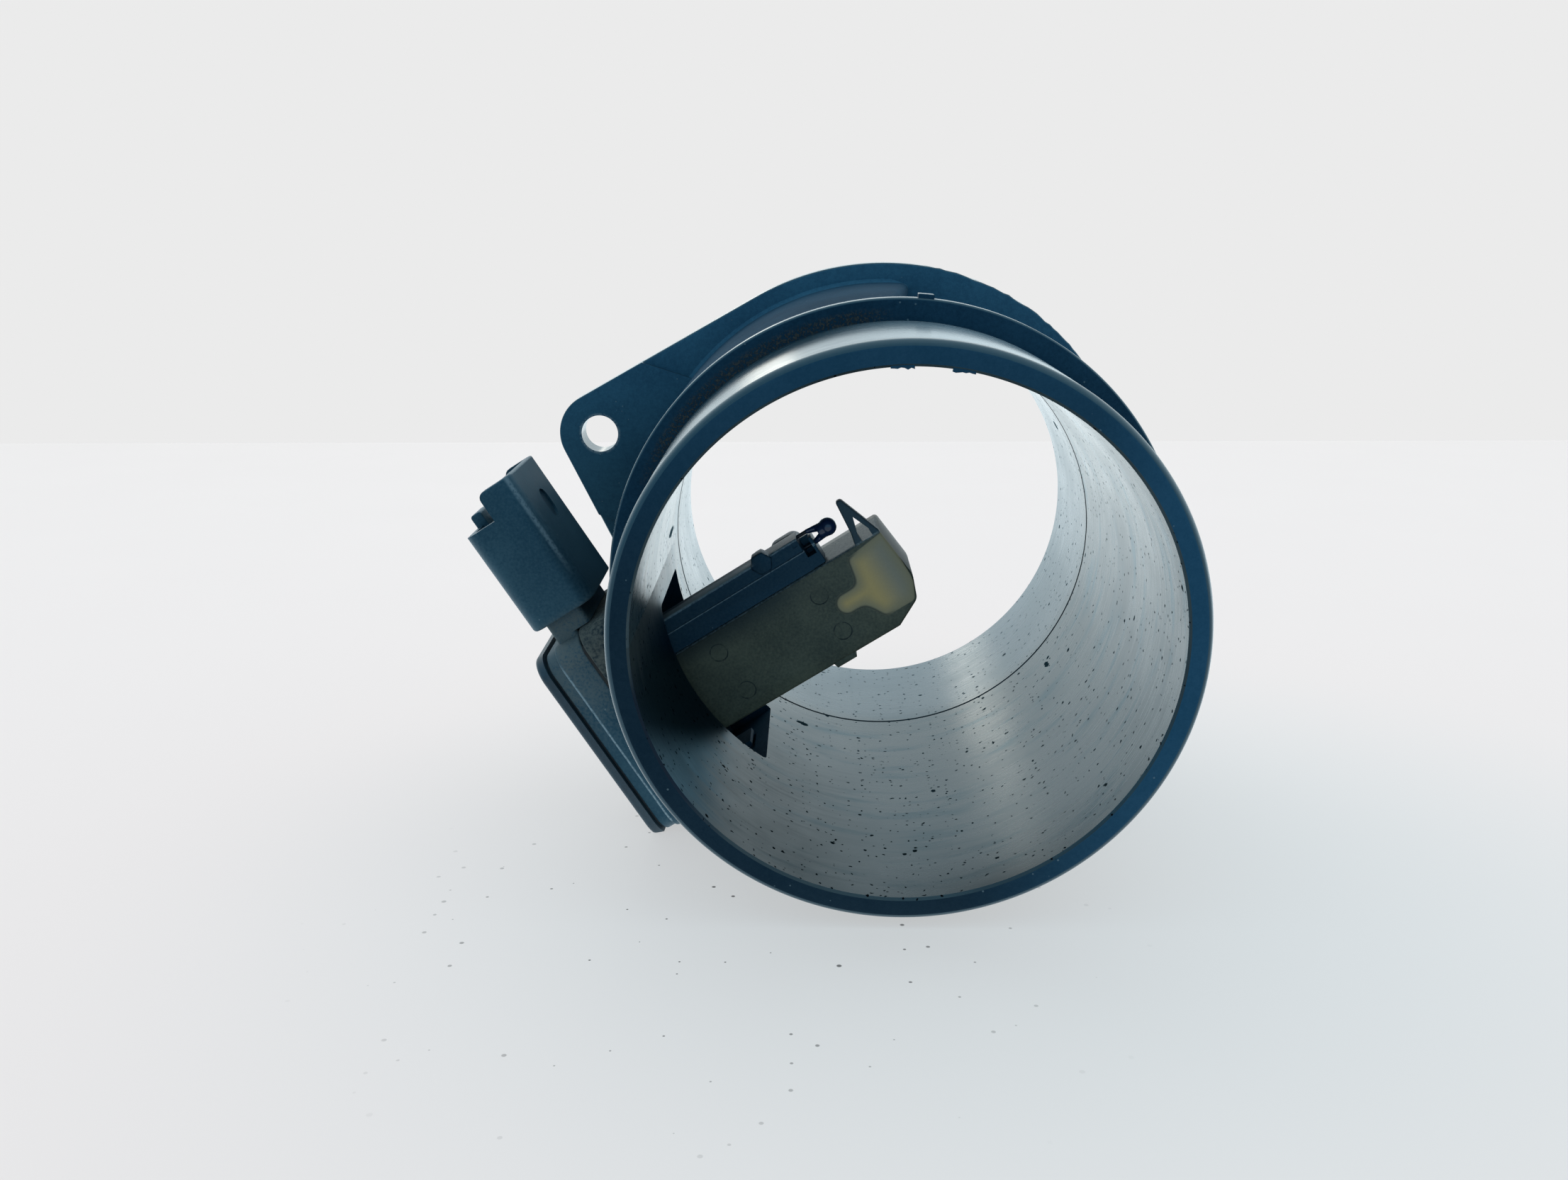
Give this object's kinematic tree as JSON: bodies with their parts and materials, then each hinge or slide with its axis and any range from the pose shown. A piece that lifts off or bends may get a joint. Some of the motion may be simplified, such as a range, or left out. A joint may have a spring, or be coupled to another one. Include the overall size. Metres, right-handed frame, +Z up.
{
  "type": "mass airflow sensor",
  "caption": "Moulded air duct with a hose seat, an eared flange and a sealed spigot; a plug-in module with a connector hangs its sensing blade in the bore.",
  "frame": {"origin": "on the bore's axis, in the plane of the flange's back face that meets the filter box", "axes": "+Y along the bore, from the hose end towards the filter box; +Z up as the part lies in the picture, with the module at the lower left of -X"},
  "size_m": [0.1254, 0.0945, 0.0924],
  "materials": {
    "housing_plastic": "glass-filled moulding, satin, worn",
    "module_plastic": "moulded, satin",
    "lid_plastic": "moulded, satin",
    "blade_plastic": "translucent olive moulding",
    "cover_plastic": "translucent olive moulding",
    "seal_rubber": "moulded rubber",
    "gasket_rubber": "moulded rubber",
    "bead_coating": "dipped coating",
    "lead_wire": "tinned wire",
    "terminal_metal": "tinned",
    "adhesive": "cured bead",
    "plate_metal": "stamped",
    "board": "coated board",
    "chip_body": "moulded",
    "capacitor_body": "ceramic",
    "carrier_ceramic": "ceramic",
    "film_glass": "glass-coated film"
  },
  "bodies": {
    "root": {"tube_housing": "housing_plastic", "spigot_seal": "seal_rubber", "module_gasket": "gasket_rubber", "sensor_body": "module_plastic", "bypass_housing": "blade_plastic", "bypass_cover": "cover_plastic", "temperature_bead": "bead_coating", "temperature_lead_upper": "lead_wire", "temperature_lead_lower": "lead_wire", "module_lid": "lid_plastic", "lid_adhesive": "adhesive", "base_plate": "plate_metal", "circuit_board": "board", "signal_chip": "chip_body", "sensor_carrier": "carrier_ceramic", "hot_film": "film_glass", "terminal_1": "terminal_metal", "terminal_2": "terminal_metal", "terminal_3": "terminal_metal", "terminal_4": "terminal_metal", "terminal_5": "terminal_metal", "terminal_6": "terminal_metal", "capacitor_1": "capacitor_body", "capacitor_2": "capacitor_body", "capacitor_3": "capacitor_body"}
  },
  "joints": []
}
